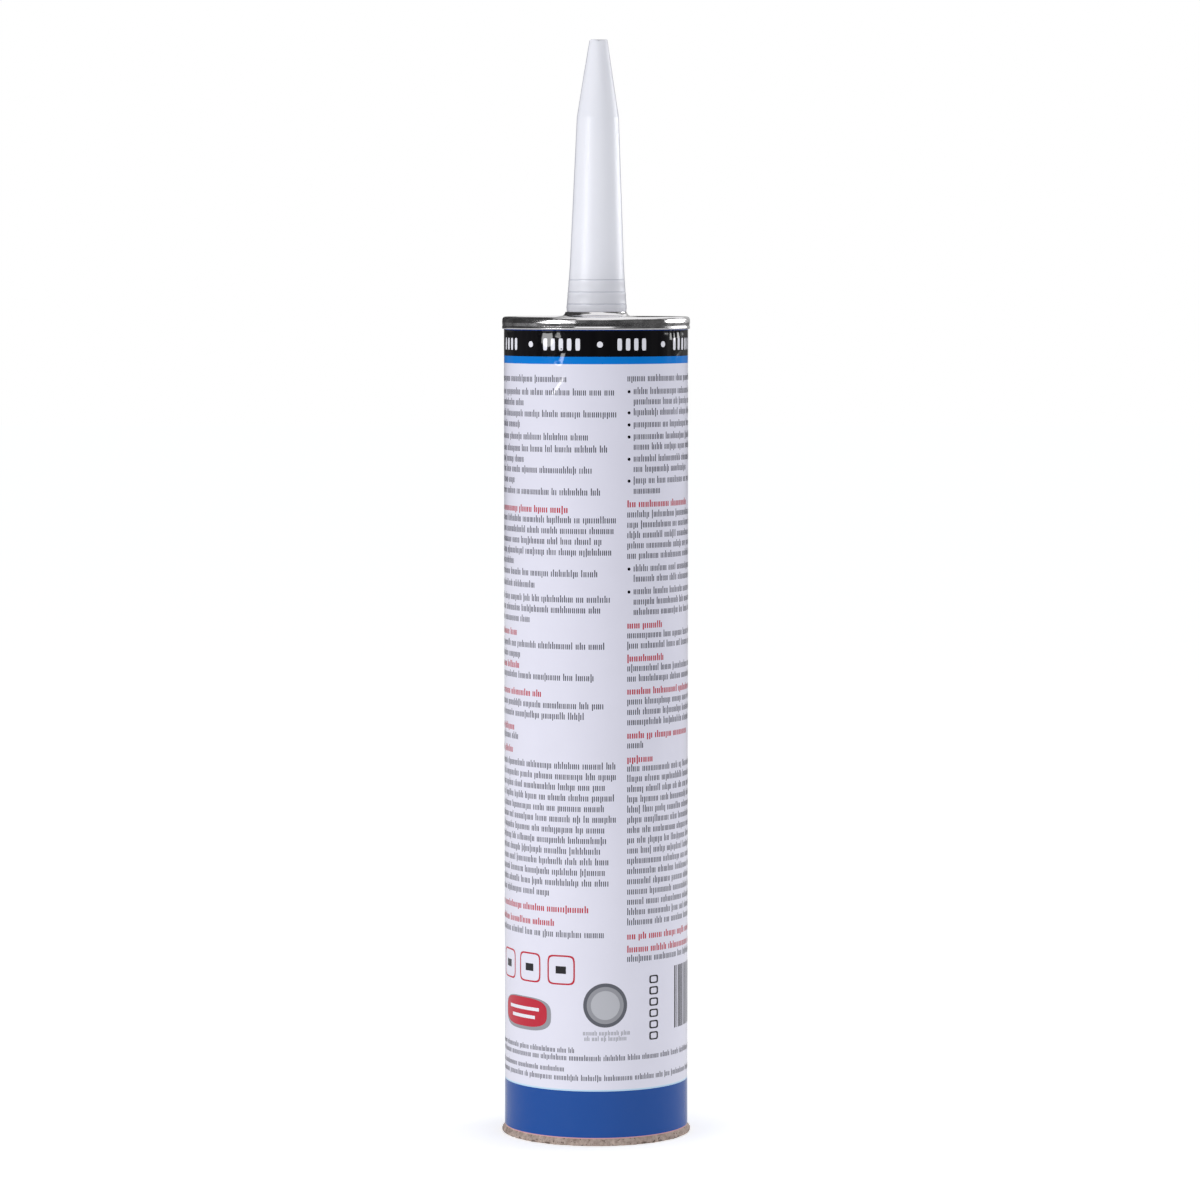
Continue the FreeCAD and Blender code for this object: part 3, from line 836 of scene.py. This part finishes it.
Dent = namedtuple("Dent", "angle level half_angle half_height depth")
END_DENTS = (
    Dent(-14.2, 220.5, 1.1, 0.5, 0.035),
    Dent(7.2, 220.5, 6.0, 0.9, 0.03),
    Dent(27.0, 220.1, 1.2, 1.8, 0.04),
    Dent(118.0, 219.9, 3.0, 1.4, 0.10),
    Dent(-97.0, 219.7, 4.0, 1.6, 0.07),
)


def dented(radius, angle, height):
    """Press the dents into the seam's outer face."""
    moved = radius.copy()
    outer = smooth_step(HOOK_RADIUS - 1.2, HOOK_RADIUS - 0.2, radius)
    for dent in END_DENTS:
        across = (np.degrees(angle) - dent.angle) / dent.half_angle
        up = (height - dent.level) / dent.half_height
        moved -= dent.depth * outer * np.exp(-across ** 2 - up ** 2)
    return moved, height


def make_end(material):
    """Tinplate end: curled hook, groove, bulging wall, crown, sink, panel and chimney."""
    path = rounded([
        (HOOK_RADIUS - 0.24, HOOK_FOOT + 0.12, 0.0),
        (HOOK_RADIUS - 0.12, HOOK_FOOT, 0.08),
        (HOOK_RADIUS - 0.07, HOOK_FOOT + 0.25, 0.15),
        (HOOK_RADIUS - 0.18, HOOK_FOOT + 0.72, 0.35),
        (HOOK_RADIUS - 0.09, HOOK_FOOT + 1.6, 1.2),
        (HOOK_RADIUS - 0.20, CROWN_TOP, 0.65),
        (CHUCK_RADIUS, CROWN_TOP, 0.65),
        (CHUCK_RADIUS, SINK_LEVEL, 0.75),
        (SINK_INSIDE_RADIUS, SINK_LEVEL, 0.75),
        (*PANEL_EDGE, 0.8),
        (*CHIMNEY_FOOT, 1.5),
        (*CHIMNEY_LIP, 0.0),
    ], closed=False, steps=8)
    outline = thickened(path, SHEET)
    piece = spin("seamed_end", outline, dented, sharp=40)
    return dress(piece, "cartridge", [material], ["metal_end"])


# Nozzle

NECK_RADIUS = 7.8
ROOT_RADIUS = 8.02
RING_SURFACE = (8.02, 7.775, 7.53)
RING_TOPS = (224.75, 228.0, 231.25)
RING_HEIGHT = 1.1
RING_PROUD = 0.05
RING_GROOVE = 0.10
COLLAR_FOOT = 222.65
WAIST = (7.27, 235.3)
SHOULDER = (5.65, 274.9)
TIP_RADIUS = 2.4
NOZZLE_WALL = 1.1
TIP_CAP = 1.2
OFFSET = 0.13
LEAN = math.tan(math.radians(0.39))


def make_nozzle(materials):
    """Closed nozzle: flange, neck, ringed root, long taper and blunt tip, with its channel."""
    flange_top = nozzle_lo.z + 1.5
    corners = [(nozzle_hi.x, nozzle_lo.z, 0.0), (nozzle_hi.x, flange_top, 0.3),
               (NECK_RADIUS, flange_top, 0.3), (NECK_RADIUS, COLLAR_FOOT - 0.10, 0.0),
               (ROOT_RADIUS, COLLAR_FOOT + 0.12, 0.1)]
    for surface, top in zip(RING_SURFACE, RING_TOPS):
        low = top - RING_HEIGHT
        corners += [(surface + 0.07, low - 0.10, 0.0), (surface + 0.06 + RING_PROUD, low + 0.02, 0.0),
                    (surface + RING_PROUD, top - 0.10, 0.0), (surface - RING_GROOVE, top + 0.02, 0.0),
                    (surface - 0.01, top + 0.14, 0.0)]
    tip = nozzle_hi.z
    corners += [(*WAIST, 9.0), (*SHOULDER, 2.0), (TIP_RADIUS, tip, 0.3), (0.0, tip, 0.0),
                (0.0, tip - TIP_CAP, 0.0), (TIP_RADIUS - NOZZLE_WALL, tip - TIP_CAP, 0.4),
                (SHOULDER[0] - NOZZLE_WALL, SHOULDER[1], 1.0), (WAIST[0] - NOZZLE_WALL, WAIST[1], 0.5),
                (NECK_RADIUS - NOZZLE_WALL, COLLAR_FOOT, 0.5), (NECK_RADIUS - NOZZLE_WALL, nozzle_lo.z, 0.0)]
    outline = rounded(corners, steps=6)
    long_runs = []
    for start, end in zip(outline, np.roll(outline, -1, axis=0)):
        count = max(1, math.ceil(np.linalg.norm(end - start) / 2.5))
        long_runs += [start + (end - start) * share / count for share in range(count)]
    # The fine groove over each ring gets the second, darker material: painted shade in the grooves.
    piece = spin("tapered_nozzle", long_runs, tip_marks, groove_shade_slot, segments=192)
    lean_over(piece)
    return dress(piece, "cartridge", materials, ["nozzle"])


def groove_shade_slot(level, reach):
    """1 in the fine groove over each ring, which takes a darker material as painted shade, and 0 elsewhere.
    """
    return int(reach > 7.3 and any(top - 0.10 < level < top + 0.14 for top in RING_TOPS))


def tip_marks(radius, angle, height):
    """Uneven blunt tip with one small nick, and faint flats on the last stretch."""
    near = smooth_step(nozzle_hi.z - TIP_CAP, nozzle_hi.z, height)
    outer = smooth_step(1.2, 2.2, radius)
    nick = np.exp(-((np.degrees(angle) - 2) / 16) ** 2)
    uneven = 0.10 * (1 + np.sin(angle * 3 + 0.8)) + 0.22 * nick
    flats = 0.03 * smooth_step(272, 288, height) * np.sin(angle * 7 + height / 5)
    return radius + flats * outer, height - near * outer * uneven


def lean_over(piece):
    """Lean the nozzle to the right, from a root that sits a little to the right as well."""
    for vertex in piece.data.vertices:
        above = vertex.co.z - COLLAR_FOOT * MM
        if above > -0.00005:
            vertex.co.x += OFFSET * MM + max(0.0, above) * LEAN


# Fill, plunger and seal

FILL_SHOULDER = 217.0
FILL_NECK_RADIUS = 19.4


def make_sealant(material):
    """Fill between the plunger and the end, stepped round the end's sink."""
    radius = fill_hi.x
    outline = rounded([(0.0, fill_lo.z, 0.0), (radius, fill_lo.z, 0.6), (radius, FILL_SHOULDER, 0.6),
                       (FILL_NECK_RADIUS, FILL_SHOULDER, 0.3), (FILL_NECK_RADIUS, fill_hi.z, 0.2),
                       (0.0, fill_hi.z, 0.0)])
    piece = spin("sealant_fill", outline, closed=False, segments=144)
    return dress(piece, "cartridge", [material], ["sealant"])


def squash_fill(piece):
    """Give the fill a mesh of its own; its shape is left as it is."""
    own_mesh(piece)


def give_material(node, material):
    """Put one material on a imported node."""
    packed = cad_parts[node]
    packed.data.materials.clear()
    packed.data.materials.append(material)


# Stage

KEY_AZIMUTH = -53.0
FILL_AZIMUTH = 112.0
BOUNCE_AZIMUTH = 30.0
CAMERA_LENS = 140.478
CAMERA_PLACE = (0.00105, -1.265, 0.2326)
CAMERA_DIP = 3.972


def at_azimuth(azimuth, distance, height):
    """Place round the object in metres: azimuth 0 is in front, and positive is to the right."""
    turn = math.radians(azimuth)
    return math.sin(turn) * distance, -math.cos(turn) * distance, height


def softbox(name, azimuth, distance, height, width, tall, power, aim=0.13):
    """Area lamp that faces the object's axis."""
    lamp = bpy.data.lights.new(name, "AREA")
    lamp.shape = "RECTANGLE"
    lamp.size = width
    lamp.size_y = tall
    lamp.energy = power
    holder = bpy.data.objects.new(name, lamp)
    holder.location = at_azimuth(azimuth, distance, height)
    tilt = math.atan2(height - aim, distance)
    holder.rotation_euler = (math.pi / 2 - tilt, 0, math.radians(azimuth))
    bpy.context.scene.collection.objects.link(holder)
    return holder


def card(name, turns, foot, top, glow, patchy=0.0, reach=0.70):
    """Curved card that only reflections see, between two azimuths.

    Foot and top are its angles above the rim at both ends. Its glow varies by the patchy share,
    as the far side of a studio does.
    """
    shade = bpy.data.materials.new(name)
    shade.use_nodes = True
    tree = shade.node_tree
    tree.nodes.clear()
    emission = tree.nodes.new("ShaderNodeEmission")
    cloud = tree.nodes.new("ShaderNodeTexNoise")
    cloud.inputs["Scale"].default_value = 7.0
    cloud.inputs["Detail"].default_value = 1.0
    place = tree.nodes.new("ShaderNodeTexCoord")
    tree.links.new(place.outputs["Object"], cloud.inputs["Vector"])
    span = tree.nodes.new("ShaderNodeMapRange")
    limits = (0.3, 0.7, glow * (1 - patchy), glow * (1 + patchy))
    for socket, number in zip(("From Min", "From Max", "To Min", "To Max"), limits):
        span.inputs[socket].default_value = number
    tree.links.new(cloud.outputs["Fac"], span.inputs["Value"])
    tree.links.new(span.outputs["Result"], emission.inputs["Strength"])
    output = tree.nodes.new("ShaderNodeOutputMaterial")
    tree.links.new(emission.outputs[0], output.inputs["Surface"])
    count = 25
    vertices = []
    for rises in (foot, top):
        for turn, rise in zip(np.linspace(*turns, count), np.linspace(*rises, count)):
            across, back, _ = at_azimuth(turn, reach, 0.0)
            climb = math.tan(math.radians(rise)) * reach
            vertices.append((across / MM, back / MM, CROWN_TOP + climb / MM))
    faces = [(i, i + 1, count + i + 1, count + i) for i in range(count - 1)]
    piece = make_mesh(name, vertices, faces)
    piece.data.materials.append(shade)
    piece.visible_camera = False
    piece.visible_diffuse = False
    piece.visible_transmission = False
    piece.visible_shadow = False


def make_world():
    """White surroundings for the camera and reflections, plainer light for the rest."""
    world = bpy.data.worlds.new("surroundings")
    world.use_nodes = True
    tree = world.node_tree
    tree.nodes.clear()
    path = tree.nodes.new("ShaderNodeLightPath")
    seen = tree.nodes.new("ShaderNodeMath")
    seen.operation = "MAXIMUM"
    tree.links.new(path.outputs["Is Camera Ray"], seen.inputs[0])
    mirrored = tree.nodes.new("ShaderNodeMath")
    mirrored.operation = "MAXIMUM"
    tree.links.new(path.outputs["Is Glossy Ray"], mirrored.inputs[0])
    tree.links.new(path.outputs["Is Transmission Ray"], mirrored.inputs[1])
    tree.links.new(mirrored.outputs[0], seen.inputs[1])
    ambient = tree.nodes.new("ShaderNodeBackground")
    ambient.inputs["Color"].default_value = (0.97, 0.98, 1.0, 1)
    ambient.inputs["Strength"].default_value = 0.625
    white = tree.nodes.new("ShaderNodeBackground")
    white.inputs["Color"].default_value = (1, 1, 1, 1)
    white.inputs["Strength"].default_value = 1.0
    mix = tree.nodes.new("ShaderNodeMixShader")
    tree.links.new(seen.outputs[0], mix.inputs["Fac"])
    tree.links.new(ambient.outputs[0], mix.inputs[1])
    tree.links.new(white.outputs[0], mix.inputs[2])
    output = tree.nodes.new("ShaderNodeOutputWorld")
    tree.links.new(mix.outputs[0], output.inputs["Surface"])
    bpy.context.scene.world = world


def make_floor():
    """Plain white floor that keeps the object's shadow and is seen from above only."""
    half = 6000.0
    corners = [(-half, -half, 0), (half, -half, 0), (half, half, 0), (-half, half, 0)]
    floor = make_mesh("floor", corners, [(0, 1, 2, 3)])
    material = bpy.data.materials.new("floor_white")
    material.use_nodes = True
    tree = material.node_tree
    tree.nodes.clear()
    diffuse = tree.nodes.new("ShaderNodeBsdfDiffuse")
    diffuse.inputs["Color"].default_value = (0.9, 0.9, 0.9, 1)
    glow = tree.nodes.new("ShaderNodeEmission")
    path = tree.nodes.new("ShaderNodeLightPath")
    strength = tree.nodes.new("ShaderNodeMath")
    strength.operation = "MULTIPLY"
    strength.inputs[1].default_value = 0.45
    tree.links.new(path.outputs["Is Camera Ray"], strength.inputs[0])
    tree.links.new(strength.outputs[0], glow.inputs["Strength"])
    both = tree.nodes.new("ShaderNodeAddShader")
    tree.links.new(diffuse.outputs[0], both.inputs[0])
    tree.links.new(glow.outputs[0], both.inputs[1])
    clear = tree.nodes.new("ShaderNodeBsdfTransparent")
    side = tree.nodes.new("ShaderNodeNewGeometry")
    one_sided = tree.nodes.new("ShaderNodeMixShader")
    tree.links.new(side.outputs["Backfacing"], one_sided.inputs["Fac"])
    tree.links.new(both.outputs[0], one_sided.inputs[1])
    tree.links.new(clear.outputs[0], one_sided.inputs[2])
    output = tree.nodes.new("ShaderNodeOutputMaterial")
    tree.links.new(one_sided.outputs[0], output.inputs["Surface"])
    floor.data.materials.append(material)
    floor.visible_diffuse = False
    floor.visible_shadow = False


def make_lights():
    """Large softbox at the left, strip behind at the right, low bounce, and reflected cards."""
    for lamp in (softbox("key_softbox", KEY_AZIMUTH, 0.90, 0.08, 0.75, 0.9, 4.0),
                 softbox("back_strip", FILL_AZIMUTH, 0.90, 0.14, 0.5, 1.0, 2.8),
                 softbox("low_bounce", BOUNCE_AZIMUTH, 0.30, 0.03, 0.25, 0.10, 0.075, aim=0.05)):
        lamp.visible_glossy = False
    card("card_left", (-172, -66), (-0.3, -0.3), (62, 62), 0.055, 0.5)
    card("card_left_low", (-172, -77), (-9, -9), (-0.3, -0.3), 0.12, 0.5)
    card("card_window_left", (-77, -44), (1.6, 1.0), (4, 14), 3.0, reach=0.69)
    card("card_window_right", (-44, -24), (1.0, 2.5), (14, 6), 3.0, reach=0.69)
    card("card_window_core", (-66, -44), (1.4, 1.0), (6, 13), 9.0, reach=0.68)
    card("card_window_edge", (-77, -27), (-3.5, -3.5), (1.2, 0.8), 0.04, 0.4)
    card("card_window_low", (-77, -27), (-9, -9), (-3.5, -3.5), 0.10, 0.4)
    card("card_window_floor", (-77, -27), (-24, -24), (-9, -9), 0.15, 0.4)
    card("card_window_top", (-66, -27), (6, 14), (26, 28), 0.06, 0.4)
    card("card_window_high", (-66, -27), (26, 28), (60, 60), 0.22, 0.4)
    card("card_front", (-27, 12), (-3, -3), (19, 19), 0.09, 0.45)
    card("card_front_rise", (12, 46), (-3, -3), (19, 34), 0.08, 0.45)
    card("card_front_low", (-27, 46), (-16, -16), (-3, -3), 0.05, 0.3)
    card("card_front_floor", (-16, 34), (-34, -34), (-16, -16), 0.12, 0.3)
    card("card_right", (46, 98), (-9, -9), (34, 34), 0.09, 0.5)
    card("card_right_floor", (46, 98), (-16, -14), (-9, -9), 0.07, 0.3)
    card("card_right_edge", (94, 119), (6, 0.5), (7, 17), 6.0, reach=0.69)
    card("card_right_end", (119, 144), (0.5, 5), (17, 7), 6.0, reach=0.69)
    card("card_right_back", (94, 144), (-0.3, -0.3), (40, 40), 0.42, 0.3)
    card("card_right_low", (98, 165), (-9, -9), (-0.3, -0.3), 0.20, 0.4)
    card("card_right_back_floor", (98, 165), (-24, -24), (-9, -9), 0.40, 0.3)
    card("card_back", (144, 188), (-0.3, -0.3), (20, 20), 0.45, 0.3)


def make_camera():
    """Camera at the photograph's angle."""
    camera = bpy.data.cameras.new("camera")
    camera.lens = CAMERA_LENS
    camera.sensor_width = 36.0
    holder = bpy.data.objects.new("camera", camera)
    holder.location = CAMERA_PLACE
    holder.rotation_euler = (math.radians(90 - CAMERA_DIP), 0, 0)
    bpy.context.scene.collection.objects.link(holder)
    bpy.context.scene.camera = holder


make_camera()
make_world()
make_floor()
make_lights()
bpy.context.scene.view_settings.view_transform = "Standard"

label_materials = [
    printed_paper("label_cut_edge", srgb(214, 160, 164)),
    printed_paper("label_blue", srgb(8, 73, 154)),
    printed_paper("label_pale_blue", srgb(190, 222, 243)),
    printed_paper("label_white", srgb(230, 229, 243)),
    printed_paper("label_bright_blue", srgb(0, 123, 215)),
    printed_paper("label_black", srgb(9, 8, 12)),
    printed_paper("label_dark_blue", srgb(30, 60, 130)),
]
make_label(label_materials)
make_print([printed_paper("ink_" + ink, INKS[ink]) for ink in INK_ORDER])
make_board([kraft_board("kraft_board"), liner("bore_liner")])
make_end(tinplate("tinplate"))
# The rim colour given here is painted shade along the nozzle's silhouette.
make_nozzle([milky_plastic("nozzle_plastic", srgb(244, 245, 254), rim=srgb(176, 177, 188)),
             # Darker plastic for the ring grooves: painted shade.
             milky_plastic("nozzle_groove_shade", srgb(213, 214, 225))])
squash_fill(make_sealant(black_sealant("sealant_black")))
give_material("inner_seal", foil("seal_foil"))
give_material("plunger", milky_plastic("plunger_plastic", srgb(226, 226, 228), 0.00003))
